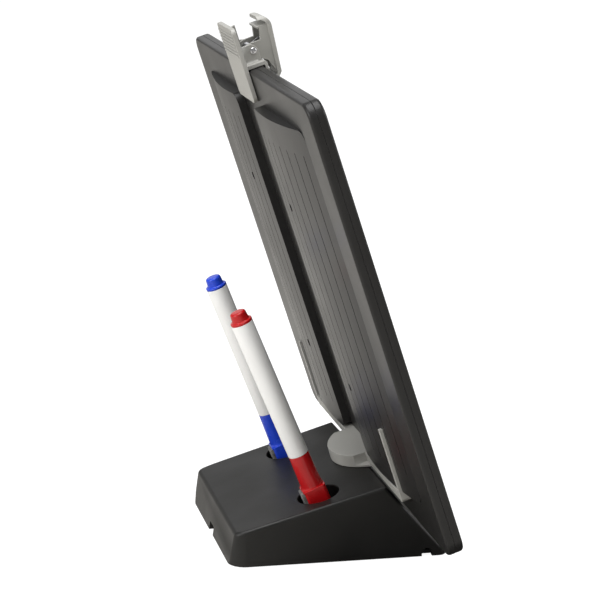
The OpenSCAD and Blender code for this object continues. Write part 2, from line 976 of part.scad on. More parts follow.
// Rear plate, hook and side cheeks of the clip
module clip_body() {
    color(clip_grey)
        on_board()
            difference() {
                union() {
                    across_y(plate_front, plate_rear)
                        polygon(rounded(
                            upright_rectangle(clip_width, plate_bottom, plate_top),
                            [for (i = [0 : 3]) plate_corner_radius]
                        ));
                    plate_centre_rib();
                    across_x(-hook_width / 2, hook_width / 2)
                        polygon(hook_outline());
                    for (side = [0, 1])
                        mirror([side, 0, 0])
                            clip_cheek();
                    grip_ribs();
                }
                translate([-clip_half - overrun, pin_y, pin_z])
                    rotate([0, 90, 0])
                        cylinder(r = pin_radius, h = clip_width + 2 * overrun);
            }
}

// Cheek on the right, with the fillet at its foot
module clip_cheek() {
    across_x(cheek_half - cheek_thickness, cheek_half)
        polygon(rounded(
            [
                [cheek_front, hook_under],
                [plate_rear, hook_under],
                [plate_rear, cheek_top],
                [cheek_front, cheek_top]
            ],
            [0, 0, 0, cheek_corner_radius]
        ));
    across_y(cheek_front + cheek_fillet, plate_rear)
        difference() {
            translate([cheek_half - cheek_thickness / 2, hook_top - hook_thickness / 2])
                square([cheek_fillet + cheek_thickness / 2, cheek_fillet + hook_thickness / 2]);
            translate([cheek_half + cheek_fillet, hook_top + cheek_fillet])
                circle(r = cheek_fillet);
        }
}

// Rib down the middle of the plate's front, above the pin
module plate_centre_rib() {
    across_x(-plate_rib / 2, plate_rib / 2)
        polygon([
            [plate_front - plate_rib_depth, cheek_top],
            [plate_front + clip_plate / 2, cheek_top],
            [plate_front + clip_plate / 2, plate_top - clip_plate],
            [plate_front, plate_top - clip_plate],
            [plate_front - plate_rib_depth, plate_top - clip_plate / 2]
        ]);
}

// Side of the hook: over the board's upper edge and down in front of its face
function hook_outline() = rounded(
    [
        [lip_outer, hook_under - seat_gap - hook_drop],
        [lip_inner, hook_under - seat_gap - hook_drop],
        [lip_inner, hook_under],
        [plate_rear, hook_under],
        [plate_rear, hook_top],
        [lip_outer, hook_top]
    ],
    [hook_lip / 4, hook_lip / 4, 0, 0, 0, hook_lip]
);

// Fine ribs across the rear plate, near its top
module grip_ribs() {
    top = plate_top - plate_corner_radius;
    for (i = [0 : grip_count - 1])
        block(
            [-clip_half + grip_margin, plate_rear - clip_plate / 2, top - grip_width - i * grip_pitch],
            [clip_half - grip_margin, plate_rear + grip_height, top - i * grip_pitch]
        );
}

module clip_pin() {
    color(steel)
        on_board()
            translate([0, pin_y, pin_z])
                rotate([0, 90, 0]) {
                    cylinder(r = pin_radius, h = cheek_span, center = true);
                    for (end = [0, 1])
                        mirror([0, 0, end])
                            translate([0, 0, cheek_half])
                                cylinder(r = pin_head_radius, h = pin_head_height);
                }
}

// Front of the lever's skin moved in by the distance d, from the waist up to the rounded top's end
function lever_side(d) = concat(
    [[waist_y + d, waist_z]],
    [for (i = [0 : lever_top_steps])
        let (angle = 180 + (lever_top_end_angle - 180) * i / lever_top_steps)
        let (r = lever_top_radius - d)
        [lever_top_y + r * cos(angle), lever_top_z + r * sin(angle)]]
);

function reversed(points) = [for (i = [len(points) - 1 : -1 : 0]) points[i]];

// Front lever: a skin with a rounded top and a jaw, and two side walls that are set in from its edges
module clip_lever() {
    color(clip_grey)
        on_board()
            difference() {
                union() {
                    intersection() {
                        across_x(-lever_half, lever_half)
                            polygon(concat(lever_side(0), reversed(lever_side(lever_skin))));
                        across_y(lever_front_y - overrun, 0)
                            polygon(rounded(
                                upright_rectangle(2 * lever_half, waist_z - overrun, lever_top),
                                [0, 0, lever_corner_radius, lever_corner_radius]
                            ));
                    }
                    across_x(-lever_half, lever_half)
                        lever_jaw_shape();
                    across_x(-lever_wall_half, lever_wall_half)
                        lever_rib_shape();
                    for (x = [-lever_wall_half, lever_wall_half - lever_wall])
                        across_x(x, x + lever_wall)
                            lever_wall_shape();
                }
                translate([-clip_half - overrun, pin_y, pin_z])
                    rotate([0, 90, 0])
                        cylinder(r = pin_radius + running_gap, h = clip_width + 2 * overrun);
            }
}

// Lower end of the lever, which turns in to the board's face
module lever_jaw_shape() {
    polygon([
        [waist_y, waist_z],
        [jaw_y - jaw_radius, jaw_z],
        [jaw_y, jaw_z - jaw_radius],
        [jaw_y + jaw_radius, jaw_z],
        [waist_y + lever_skin, waist_z]
    ]);
    translate([jaw_y, jaw_z])
        circle(r = jaw_radius);
}

// Rib across the lever's hollow back, where its side walls end
module lever_rib_shape() {
    translate([lever_front_y + lever_skin / 2, lever_rib_z - lever_rib])
        square([lever_depth - lever_skin / 2, lever_rib]);
}

// Side wall between the skin and the pin, clear of the hook
module lever_wall_shape() {
    translate([pin_y, pin_z])
        circle(r = lever_boss_radius);
    polygon([
        [pin_y, pin_z - lever_boss_radius],
        [pin_y + lever_boss_radius, pin_z],
        [pin_y, cheek_top],
        [lever_back_y, cheek_top],
        [lever_back_y - lever_rib, lever_rib_z],
        [lever_front_y + lever_skin / 2, lever_rib_z],
        [waist_y + lever_skin / 2, waist_z],
        [waist_y + lever_skin, waist_z],
        [lip_outer - lever_skin, hook_top - hook_thickness]
    ]);
}

// Point of the spring's helix: it winds round the pin from the left to the right
function curl_point(turn) = [
    -spring_length / 2 + spring_pitch * turn,
    pin_y + spring_radius * cos(360 * turn),
    pin_z - spring_radius * sin(360 * turn)
];

// Route of the wire: a leg that leans to the rear plate, the curls, and a leg that leans to the lever
function spring_route() =
    let (turns = spring_curls - 0.5, rings = curl_rings * turns)
    let (start = curl_point(0), end = curl_point(turns), rise = [0, 0, wire_diameter])
    let (leg_top = pin_z + spring_leg, leg_bend = leg_top - spring_foot)
    let (rear_y = plate_front - spring_touch - wire_radius)
    let (front_y = lever_inner_y(leg_bend) + spring_touch + wire_radius)
    concat(
        [
            [start[0], rear_y, leg_top],
            [start[0], rear_y, leg_bend],
            start + rise
        ],
        [for (i = [0 : rings]) curl_point(i / curl_rings)],
        [
            end + rise,
            [end[0], front_y, leg_bend],
            [end[0], front_y, leg_top]
        ]
    );

// Inner face of the lever's skin at the height z on the board
function lever_inner_y(z) =
    waist_y + lever_skin + (lever_front_y - waist_y) * (z - waist_z) / (lever_top_z - waist_z);

// Direction of a route at its point i
function route_direction(route, i) =
    unit(route[min(i + 1, len(route) - 1)] - route[max(i - 1, 0)]);

// Ring of points round the route at its point i, with one point always towards the pin's axis
function wire_ring(route, i) =
    let (along = route_direction(route, i), across = unit(cross(along, [1, 0, 0])))
    let (third = cross(along, across))
    [for (k = [0 : wire_sides - 1])
        route[i] + wire_radius * (across * cos(360 * k / wire_sides) + third * sin(360 * k / wire_sides))];

// Tube of wire_sides sides along a route, with triangles for all its faces
module wire_tube(route) {
    n = len(route);
    sides = wire_sides;
    walls = [for (i = [0 : n - 2])
        for (k = [0 : sides - 1])
            let (a = i * sides + k, b = i * sides + (k + 1) % sides)
            each [[a, b, a + sides], [b, b + sides, a + sides]]];
    first_cap = [for (k = [1 : sides - 2]) [0, k + 1, k]];
    last_cap = [for (k = [1 : sides - 2]) [(n - 1) * sides, (n - 1) * sides + k, (n - 1) * sides + k + 1]];
    polyhedron(
        points = [for (i = [0 : n - 1]) each wire_ring(route, i)],
        faces = concat(walls, first_cap, last_cap)
    );
}

// Least distance between the wire's surfaces one curl apart or more
function spring_self_gap() =
    let (route = spring_route(), n = len(route))
    min([for (i = [0 : n - 1])
        for (j = [i + curl_rings / 2 + 1 : 1 : n - 1])
            norm(route[j] - route[i]) - wire_diameter]);

module clip_spring() {
    color(steel)
        on_board()
            wire_tube(spring_route());
}

// Cap with a round mouth and a square collar, whose rear face seats the felt pad
module marker_cap(side, ink) {
    half = collar_side / 2;
    color(ink)
        on_marker(side)
            difference() {
                union() {
                    linear_extrude(collar_length - cap_shoulder)
                        polygon(rounded(
                            [[-half, -half], [half, -half], [half, half], [-half, half]],
                            [for (i = [0 : 3]) collar_corner_radius]
                        ));
                    rotate_extrude()
                        polygon([
                            [0, collar_length - 2 * cap_shoulder],
                            [half, collar_length - 2 * cap_shoulder],
                            [half, collar_length - cap_shoulder],
                            [cap_diameter / 2 + cap_wall / 3, collar_length],
                            [cap_diameter / 2, cap_length - cap_edge_gap],
                            [0, cap_length - cap_edge_gap]
                        ]);
                }
                translate([0, 0, cap_bore_bottom])
                    cylinder(r = cap_bore_radius, h = cap_length);
                felt_block();
            }
}

// Block of the felt pad, which also cuts its seat
module felt_block() {
    seat = collar_side / 2 - felt_seat;
    block(
        [-felt_width / 2, seat, felt_margin],
        [felt_width / 2, seat + felt_thickness, collar_length - cap_shoulder - felt_margin]
    );
}

module marker_eraser(side) {
    color(felt_grey)
        on_marker(side)
            felt_block();
}

// White tube with the narrower neck that slides into the cap
module marker_barrel(side) {
    color(barrel_white)
        on_marker(side)
            rotate_extrude()
                polygon([
                    [neck_bore_radius, neck_bottom],
                    [neck_radius, neck_bottom],
                    [neck_radius, cap_length],
                    [barrel_diameter / 2, cap_length],
                    [barrel_end_diameter / 2, barrel_top],
                    [barrel_bore_radius, barrel_top],
                    [barrel_bore_radius, cap_length + barrel_wall],
                    [neck_bore_radius, cap_length + barrel_wall]
                ]);
}

module marker_end_plug(side, ink) {
    color(ink)
        on_marker(side)
            translate([0, 0, barrel_top])
                rotate_extrude()
                    polygon([
                        [0, -spigot_length],
                        [barrel_bore_radius, -spigot_length],
                        [barrel_bore_radius, 0],
                        [barrel_end_diameter / 2, 0],
                        [barrel_end_diameter / 2, flange_height],
                        [knob_radius, flange_height],
                        [knob_radius - knob_edge / 3, flange_height + knob_height - knob_edge],
                        [knob_radius - knob_edge, flange_height + knob_height],
                        [0, flange_height + knob_height]
                    ]);
}

// Plug in the neck with a nose that holds the nib
module marker_nib_holder(side) {
    color(barrel_white)
        on_marker(side)
            rotate_extrude()
                polygon([
                    [nib_diameter / 2, neck_bottom - holder_nose_length],
                    [nib_diameter / 2 + holder_nose / 2, neck_bottom - holder_nose_length],
                    [nib_diameter / 2 + holder_nose / 2, neck_bottom],
                    [neck_bore_radius, neck_bottom],
                    [neck_bore_radius, core_bottom],
                    [nib_diameter / 2, core_bottom]
                ]);
}

module marker_nib(side, ink) {
    color(ink)
        on_marker(side)
            rotate_extrude()
                polygon([
                    [0, nib_tip],
                    [nib_tip_radius, nib_tip],
                    [nib_diameter / 2, nib_tip + nib_diameter / 2],
                    [nib_diameter / 2, core_bottom],
                    [0, core_bottom]
                ]);
}

module marker_ink_core(side) {
    color(fibre_white)
        on_marker(side)
            translate([0, 0, core_bottom])
                cylinder(
                    r = neck_bore_radius - core_gap,
                    h = barrel_top - spigot_length - core_bottom
                );
}

echo(spring_self_gap_mm = spring_self_gap());

base_shell();
base_floor();
ballast_plate();
base_feet();
base_screws();
support_bracket();
bracket_screws();
back_shell();
front_frame();
whiteboard_sheet();
core_panel();
shell_screws();
clip_body();
clip_lever();
clip_pin();
clip_spring();
marker_cap(1, ink_blue);  // blue_cap
marker_eraser(1);  // blue_eraser
marker_barrel(1);  // blue_barrel
marker_end_plug(1, ink_blue);  // blue_end_plug
marker_nib_holder(1);  // blue_nib_holder
marker_nib(1, ink_blue);  // blue_nib
marker_ink_core(1);  // blue_ink_core
marker_cap(-1, ink_red);  // red_cap
marker_eraser(-1);  // red_eraser
marker_barrel(-1);  // red_barrel
marker_end_plug(-1, ink_red);  // red_end_plug
marker_nib_holder(-1);  // red_nib_holder
marker_nib(-1, ink_red);  // red_nib
marker_ink_core(-1);  // red_ink_core
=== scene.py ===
"""Desk whiteboard easel: a black board with a light grey clip and bracket on a weighted black
stand, and a blue and a red marker in the pockets behind it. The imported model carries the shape;
this script rounds its edges, adds the spring and the felt, and gives every piece its finish."""
import math

import bmesh
import bpy
import numpy as np
from mathutils import Matrix


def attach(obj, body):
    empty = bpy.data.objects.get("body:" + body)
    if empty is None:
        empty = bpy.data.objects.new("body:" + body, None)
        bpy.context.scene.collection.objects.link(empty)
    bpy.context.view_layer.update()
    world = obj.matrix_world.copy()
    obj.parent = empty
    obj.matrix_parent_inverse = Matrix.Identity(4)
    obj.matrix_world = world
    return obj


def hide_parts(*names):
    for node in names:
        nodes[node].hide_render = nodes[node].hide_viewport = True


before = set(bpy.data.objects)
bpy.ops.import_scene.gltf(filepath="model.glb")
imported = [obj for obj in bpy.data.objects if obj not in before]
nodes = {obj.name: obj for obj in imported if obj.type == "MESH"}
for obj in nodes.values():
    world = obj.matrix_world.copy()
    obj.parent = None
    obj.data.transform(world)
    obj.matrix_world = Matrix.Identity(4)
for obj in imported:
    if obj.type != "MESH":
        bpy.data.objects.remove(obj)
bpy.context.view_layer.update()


# Stand: a hollow wedge moulded in matte black plastic with a fine eroded grain. The long edges
# of the moulding are rounded, and the two pockets and the board's socket are open in its top.
MM = 0.001
STAND_DEPTH = 112 * MM
STAND_REAR_WIDTH = 109 * MM
STAND_FRONT_WIDTH = 119 * MM
STAND_REAR_HEIGHT = 18 * MM
STAND_EDGE_RADIUS = 1.8 * MM
STAND_LIP_RADIUS = 0.5 * MM
STAND_LIGHT = (0.013, 0.0125, 0.0115)
STAND_DARK = (0.009, 0.0085, 0.008)

# Where the stand's edges are looked for: this far in from its side walls and its rear wall, this
# far below its upper rear edge, and above these heights for its outline and for the lips.
SIDE_EDGE_REACH = 1.2 * MM
REAR_EDGE_REACH = 12 * MM
REAR_EDGE_DROP = 2 * MM
OUTLINE_BOTTOM = 6 * MM
LIP_BOTTOM = 24 * MM

# A moulding's mesh before its edges are rounded: points this close are joined, faces this flat
# to each other are joined, and an edge sharper than this angle can be rounded.
WELD_DISTANCE = 0.002 * MM
FLAT_ANGLE = math.radians(0.5)
SHARP_ANGLE = math.radians(28)
LEAST_RADIUS = 0.01 * MM

# Finishes: the range that most of a noise lies in, the detail of the patches and of the grain,
# and the roughness of a clear coat.
NOISE_LOW = 0.3
NOISE_HIGH = 0.7
PATCH_DETAIL = 3.0
GRAIN_DETAIL = 2.0
COAT_ROUGHNESS = 0.08


def shader_group(name, inputs, outputs):
    """New shader group with inputs of the kinds given and with outputs that are numbers.

    It comes with the sockets of its two ends and the Object coordinates inside it."""
    group = bpy.data.node_groups.new(name, "ShaderNodeTree")
    for label, kind in inputs.items():
        group.interface.new_socket(label, in_out="INPUT", socket_type=f"NodeSocket{kind}")
    for label in outputs:
        group.interface.new_socket(label, in_out="OUTPUT", socket_type="NodeSocketFloat")
    taken = group.nodes.new("NodeGroupInput").outputs
    given = group.nodes.new("NodeGroupOutput").inputs
    place = group.nodes.new("ShaderNodeTexCoord").outputs["Object"]
    return group, taken, given, place


def moulded_grain():
    """Shader group of two noises in Object coordinates: slow patches and a fine grain, 0 to 1."""
    group, taken, given, place = shader_group(
        "moulded_grain", {"Patch Scale": "Float", "Grain Scale": "Float"}, ("Patches", "Grain"),
    )
    for scale, result, detail in (
        ("Patch Scale", "Patches", PATCH_DETAIL),
        ("Grain Scale", "Grain", GRAIN_DETAIL),
    ):
        noise = group.nodes.new("ShaderNodeTexNoise")
        noise.inputs["Detail"].default_value = detail
        group.links.new(place, noise.inputs["Vector"])
        group.links.new(taken[scale], noise.inputs["Scale"])
        group.links.new(noise.outputs["Fac"], given[result])
    return group


grain_group = moulded_grain()


def blank_material(name):
    """New material with its node tree and Principled shader."""
    material = bpy.data.materials.new(name)
    material.use_nodes = True
    tree = material.node_tree
    return material, tree, tree.nodes["Principled BSDF"]


def placed(tree, group, settings):
    """Outputs of a shader group that is placed in a material with its own settings."""
    source = tree.nodes.new("ShaderNodeGroup")
    source.node_tree = group
    for label, setting in settings.items():
        source.inputs[label].default_value = setting
    return source.outputs


def mixed(tree, mask, dark, light):
    """Colour that goes from dark to light as the mask goes from 0 to 1."""
    mix = tree.nodes.new("ShaderNodeMix")
    mix.data_type = "RGBA"
    mix.inputs["A"].default_value = (*dark, 1)
    mix.inputs["B"].default_value = (*light, 1)
    tree.links.new(mask, mix.inputs["Factor"])
    return mix.outputs["Result"]


def ranged(tree, value, low, high, first=NOISE_LOW, last=NOISE_HIGH):
    """Value stretched so that first to last becomes low to high, held at both ends."""
    span = tree.nodes.new("ShaderNodeMapRange")
    limits = {"From Min": first, "From Max": last, "To Min": low, "To Max": high}
    for label, number in limits.items():
        span.inputs[label].default_value = number
    tree.links.new(value, span.inputs["Value"])
    return span.outputs["Result"]


def bumped(tree, shader, height, depth, strength):
    """Bump of the given depth in metres, from a height of 0 to 1, on the shader's normal."""
    bump = tree.nodes.new("ShaderNodeBump")
    bump.inputs["Distance"].default_value = depth
    bump.inputs["Strength"].default_value = strength
    tree.links.new(height, bump.inputs["Height"])
    tree.links.new(bump.outputs["Normal"], shader.inputs["Normal"])


def plastic(
    name, dark, light, rough, patch_scale=35, grain_scale=2600, grain_depth=0.03 * MM, tooth=0.35,
    coat=0.0, shine=0.5,
):
    """Moulded plastic: patches shift its colour and gloss, and the grain gives it some tooth."""
    material, tree, shader = blank_material(name)
    source = placed(tree, grain_group, {"Patch Scale": patch_scale, "Grain Scale": grain_scale})
    patches = ranged(tree, source["Patches"], 0, 1)
    tree.links.new(mixed(tree, patches, dark, light), shader.inputs["Base Color"])
    tree.links.new(ranged(tree, source["Patches"], *rough), shader.inputs["Roughness"])
    shader.inputs["Specular IOR Level"].default_value = shine
    shader.inputs["Coat Weight"].default_value = coat
    shader.inputs["Coat Roughness"].default_value = COAT_ROUGHNESS
    bumped(tree, shader, source["Grain"], grain_depth, tooth)
    return material


def in_scene(name, data):
    """New object with the given mesh, lamp or camera, at the origin of the scene."""
    thing = bpy.data.objects.new(name, data)
    bpy.context.scene.collection.objects.link(thing)
    return thing


def softened(node, name, radius_of, segments=3):
    """Copy of a CAD node with its sharp outer edges rounded, each by the radius for its middle."""
    shape = bmesh.new()
    shape.from_mesh(nodes[node].data)
    bmesh.ops.remove_doubles(shape, verts=shape.verts, dist=WELD_DISTANCE)
    bmesh.ops.dissolve_limit(
        shape, angle_limit=FLAT_ANGLE, verts=shape.verts, edges=shape.edges,
        use_dissolve_boundaries=False,
    )
    angles = np.array([edge.calc_face_angle_signed(0.0) for edge in shape.edges])
    middles = np.array([(edge.verts[0].co + edge.verts[1].co) / 2 for edge in shape.edges])
    mesh = bpy.data.meshes.new(name)
    shape.to_mesh(mesh)
    shape.free()
    sharp = np.abs(angles) > SHARP_ANGLE
    radii = np.where(sharp & (angles > 0), radius_of(middles), 0.0)
    largest = max(radii.max(), LEAST_RADIUS)
    weight = mesh.attributes.new("bevel_weight_edge", "FLOAT", "EDGE")
    weight.data.foreach_set("value", (radii / largest).astype(np.float32))
    hard = mesh.attributes.new("sharp_edge", "BOOLEAN", "EDGE")
    hard.data.foreach_set("value", sharp & (radii == 0))
    mesh.polygons.foreach_set("use_smooth", np.ones(len(mesh.polygons), bool))
    piece = in_scene(name, mesh)
    bevel = piece.modifiers.new("rounded_edges", "BEVEL")
    bevel.limit_method = "WEIGHT"
    bevel.width = largest
    bevel.segments = segments
    bevel.use_clamp_overlap = False
    normals = piece.modifiers.new("flat_faces", "WEIGHTED_NORMAL")
    normals.keep_sharp = True
    return piece


def finished(piece, material, body, node):
    """Gives a new piece its material and body, and hides the CAD node that it stands for."""
    piece.data.materials.append(material)
    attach(piece, body)
    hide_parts(node)


def stand_radii(middles):
    """Large radius on the edges of the stand's outline, small on the lips in its top.

    The outline's half width goes in a straight line from the front's to the rear's."""
    x, y, z = middles.T
    behind = (y + STAND_DEPTH / 2) / STAND_DEPTH
    half_width = (STAND_FRONT_WIDTH + (STAND_REAR_WIDTH - STAND_FRONT_WIDTH) * behind) / 2
    near_side = np.abs(x) > half_width - SIDE_EDGE_REACH
    near_rear = (y > STAND_DEPTH / 2 - REAR_EDGE_REACH) & (z > STAND_REAR_HEIGHT - REAR_EDGE_DROP)
    outline = (near_side | near_rear) & (z > OUTLINE_BOTTOM)
    return np.where(outline, STAND_EDGE_RADIUS, np.where(z > LIP_BOTTOM, STAND_LIP_RADIUS, 0.0))


stand_black = plastic(
    "stand_matte_black", STAND_DARK, STAND_LIGHT, rough=(0.4, 0.5), tooth=0.5, shine=0.35,
)
finished(
    softened("base_shell", "stand_shell", stand_radii),
    stand_black, "stand", "base_shell",
)


# Underside of the stand: a black plastic cover held by four zinc-plated pan-head screws, a steel
# weight with the same plating lying on it inside, and four black rubber feet in its recesses.
COVER_LIGHT = (0.026, 0.026, 0.027)
COVER_DARK = (0.016, 0.016, 0.017)
RUBBER_LIGHT = (0.028, 0.028, 0.028)
RUBBER_DARK = (0.014, 0.014, 0.014)
ZINC_LIGHT = (0.62, 0.63, 0.65)
ZINC_DARK = (0.42, 0.43, 0.45)
MARKS_SCALE = 90
MARKS_DETAIL = 5
MARKS_DEPTH = 0.01 * MM
MARKS_STRENGTH = 0.2


def drawn_marks():
    """Shader group of one noise, 0 to 1, in Object coordinates times the Squeeze of each axis."""
    group, taken, given, place = shader_group(
        "drawn_marks", {"Squeeze": "Vector", "Scale": "Float", "Detail": "Float"}, ("Marks",),
    )
    squeezed = group.nodes.new("ShaderNodeMapping")
    noise = group.nodes.new("ShaderNodeTexNoise")
    group.links.new(place, squeezed.inputs["Vector"])
    group.links.new(taken["Squeeze"], squeezed.inputs["Scale"])
    group.links.new(squeezed.outputs["Vector"], noise.inputs["Vector"])
    group.links.new(taken["Scale"], noise.inputs["Scale"])
    group.links.new(taken["Detail"], noise.inputs["Detail"])
    group.links.new(noise.outputs["Fac"], given["Marks"])
    return group


marks_group = drawn_marks()


def steel(name, dark, light, rough, squeeze):
    """Steel: noise squeezed across Z, which draws it out along Z as marks of the steel's making."""
    material, tree, shader = blank_material(name)
    settings = {"Squeeze": (squeeze, squeeze, 1), "Scale": MARKS_SCALE, "Detail": MARKS_DETAIL}
    marks = placed(tree, marks_group, settings)["Marks"]
    tree.links.new(mixed(tree, marks, dark, light), shader.inputs["Base Color"])
    tree.links.new(ranged(tree, marks, *rough), shader.inputs["Roughness"])
    shader.inputs["Metallic"].default_value = 1.0
    bumped(tree, shader, marks, MARKS_DEPTH, MARKS_STRENGTH)
    return material


def dressed(material, *names):
    """Gives CAD nodes that keep their own mesh a material."""
    for name in names:
        nodes[name].data.materials.clear()
        nodes[name].data.materials.append(material)


plain_steel = steel("zinc_plated_steel", ZINC_DARK, ZINC_LIGHT, rough=(0.3, 0.45), squeeze=12)
cover_black = plastic("cover_black", COVER_DARK, COVER_LIGHT, rough=(0.55, 0.68), tooth=0.5)
foot_rubber = plastic(
    "foot_rubber", RUBBER_DARK, RUBBER_LIGHT, rough=(0.8, 0.92), patch_scale=120,
    grain_scale=3600, grain_depth=0.04 * MM, tooth=0.6,
)
dressed(plain_steel, "ballast_plate", "base_screws")
dressed(cover_black, "base_floor")
dressed(foot_rubber, "base_feet")


# Board: a back shell and a front frame, both moulded in satin black plastic that shows a soft
# sheen. They meet at the parting line, and four screws deep in the shell's lobes join them.
BOARD_TILT = math.radians(18.1)
BOARD_ORIGIN = np.array([0, -33.040, 28.509]) * MM
BOARD_HEIGHT = 229 * MM
BOARD_HALF_WIDTH = 139.5 * MM
BOARD_THICKNESS = 8.35 * MM
BOARD_CORNER_RADIUS = 8 * MM
BOARD_EDGE_RADIUS = 1.6 * MM
BEZEL_LIP_RADIUS = 0.3 * MM
PARTING_RADIUS = 0.3 * MM
BOARD_LIGHT = (0.022, 0.0213, 0.0208)
BOARD_DARK = (0.016, 0.0155, 0.0152)

# Where the board's edges are looked for: this near its outline, and this near the level of a face
# or of the parting line. Levels are distances behind the back plane, so they are negative inside.
RIM_REACH = 0.3 * MM
LEVEL_REACH = 0.2 * MM
BACK_LEVEL = 0.0
PARTING_LEVEL = -4.2 * MM
FACE_LEVEL = -BOARD_THICKNESS


def on_board(points):
    """Distance behind the board's back plane and height up the board, of points of the part."""
    away = points - BOARD_ORIGIN
    rearward = away[:, 1] * math.cos(BOARD_TILT) - away[:, 2] * math.sin(BOARD_TILT)
    upward = away[:, 1] * math.sin(BOARD_TILT) + away[:, 2] * math.cos(BOARD_TILT)
    return rearward, upward


def at_rim(points):
    """True for points near the board's outline, a rectangle with round corners.

    Seen square to the board, a point is compared with the nearest point of the rectangle that lies
    a corner's radius further in: it is near the outline if it is almost that radius away."""
    upward = on_board(points)[1]
    from_side = BOARD_HALF_WIDTH - np.abs(points[:, 0])
    from_end = np.minimum(upward, BOARD_HEIGHT - upward)
    beside = np.maximum(BOARD_CORNER_RADIUS - from_side, 0)
    beyond = np.maximum(BOARD_CORNER_RADIUS - from_end, 0)
    return np.hypot(beside, beyond) > BOARD_CORNER_RADIUS - RIM_REACH


def board_radii(level, lip_radius):
    """Rule for a board moulding: large radius round its face, small on lips and parting line."""
    def radius_of(middles):
        rearward = on_board(middles)[0]
        rim = at_rim(middles)
        on_face = np.abs(rearward - level) < LEVEL_REACH
        at_parting = rim & (np.abs(rearward - PARTING_LEVEL) < LEVEL_REACH)
        face_radii = np.where(rim, BOARD_EDGE_RADIUS, lip_radius)
        return np.where(on_face, face_radii, np.where(at_parting, PARTING_RADIUS, 0.0))
    return radius_of


board_black = plastic(
    "board_satin_black", BOARD_DARK, BOARD_LIGHT, rough=(0.3, 0.37), patch_scale=18,
    grain_scale=3000, grain_depth=0.015 * MM, tooth=0.3, shine=0.25,
)
finished(
    softened("back_shell", "board_back", board_radii(BACK_LEVEL, lip_radius=0.0)),
    board_black, "board", "back_shell",
)
finished(
    softened("front_frame", "board_bezel", board_radii(FACE_LEVEL, BEZEL_LIP_RADIUS)),
    board_black, "board", "front_frame",
)
dressed(plain_steel, "shell_screws")


# Writing sheet and the panel behind it: steel sheet with a glossy white enamel, on which old
# writing has left faint wipe marks, glued to a brown hardboard panel that stiffens it.
ENAMEL_CLEAN = (0.73, 0.73, 0.72)
ENAMEL_WIPED = (0.66, 0.67, 0.68)
ENAMEL_COAT = 0.4
STREAK_SQUEEZE = (6, 40, 40)
STREAK_DETAIL = 6
STREAK_LOW = 0.35
STREAK_HIGH = 0.65
HARDBOARD_LIGHT = (0.34, 0.24, 0.15)
HARDBOARD_DARK = (0.2, 0.13, 0.08)


def enamel(name, dark, light, rough):
    """White enamel: long level streaks of noise grey it a little and dull its gloss."""
    material, tree, shader = blank_material(name)
    settings = {"Squeeze": STREAK_SQUEEZE, "Scale": 1, "Detail": STREAK_DETAIL}
    streaks = placed(tree, marks_group, settings)["Marks"]
    mask = ranged(tree, streaks, 0, 1, STREAK_LOW, STREAK_HIGH)
    tree.links.new(mixed(tree, mask, dark, light), shader.inputs["Base Color"])
    tree.links.new(ranged(tree, streaks, *rough), shader.inputs["Roughness"])
    shader.inputs["Coat Weight"].default_value = ENAMEL_COAT
    return material


white_enamel = enamel("white_enamel_sheet", ENAMEL_WIPED, ENAMEL_CLEAN, rough=(0.3, 0.2))
brown_hardboard = plastic(
    "brown_hardboard", HARDBOARD_DARK, HARDBOARD_LIGHT, rough=(0.7, 0.85), patch_scale=60,
    grain_scale=900, grain_depth=0.1 * MM, tooth=0.6,
)
dressed(white_enamel, "whiteboard_sheet")
dressed(brown_hardboard, "core_panel")


# Bracket: one moulding of light warm grey plastic. Its round foot lies on the stand, its plug
# fills the socket, and its shelf and two uprights hold the board. Hidden screws join them.
GREY_LIGHT = (0.385, 0.38, 0.355)
GREY_DARK = (0.335, 0.331, 0.308)
BRACKET_EDGE_RADIUS = 0.25 * MM


def even_radii(radius):
    """Rule that gives every sharp edge that stands out the same radius."""
    return lambda middles: np.full(len(middles), radius)


bracket_grey = plastic(
    "bracket_warm_grey", GREY_DARK, GREY_LIGHT, rough=(0.4, 0.5), patch_scale=30,
    grain_scale=2400, grain_depth=0.02 * MM, tooth=0.3,
)
finished(
    softened("support_bracket", "bracket_moulding", even_radii(BRACKET_EDGE_RADIUS)),
    bracket_grey, "board", "support_bracket",
)
dressed(plain_steel, "bracket_screws")


# Clip: a rear plate with a hook and two cheeks, and a hollow front lever that turns on a steel
# pin between them. Both are moulded in the bracket's grey.
CLIP_EDGE_RADIUS = 0.25 * MM
GRIP_HALF_WIDTH = 17.5 * MM
GRIP_BEHIND = 1.5 * MM
GRIP_BOTTOM = 225 * MM
GRIP_TOP = 250 * MM


def clip_radii(middles):
    """The same radius on every edge but those of the fine grip lines in the rear plate's face."""
    rearward, upward = on_board(middles)
    on_face = (rearward > GRIP_BEHIND) & (np.abs(middles[:, 0]) < GRIP_HALF_WIDTH)
    grip = on_face & (upward > GRIP_BOTTOM) & (upward < GRIP_TOP)
    return np.where(grip, 0.0, CLIP_EDGE_RADIUS)


clip_grey = plastic(
    "clip_warm_grey", GREY_DARK, GREY_LIGHT, rough=(0.36, 0.46), patch_scale=40,
    grain_scale=2400, grain_depth=0.02 * MM, tooth=0.3,
)
finished(
    softened("clip_body", "clip_back_and_hook", clip_radii),
    clip_grey, "clip", "clip_body",
)
finished(
    softened("clip_lever", "clip_front_lever", even_radii(CLIP_EDGE_RADIUS)),
    clip_grey, "lever", "clip_lever",
)


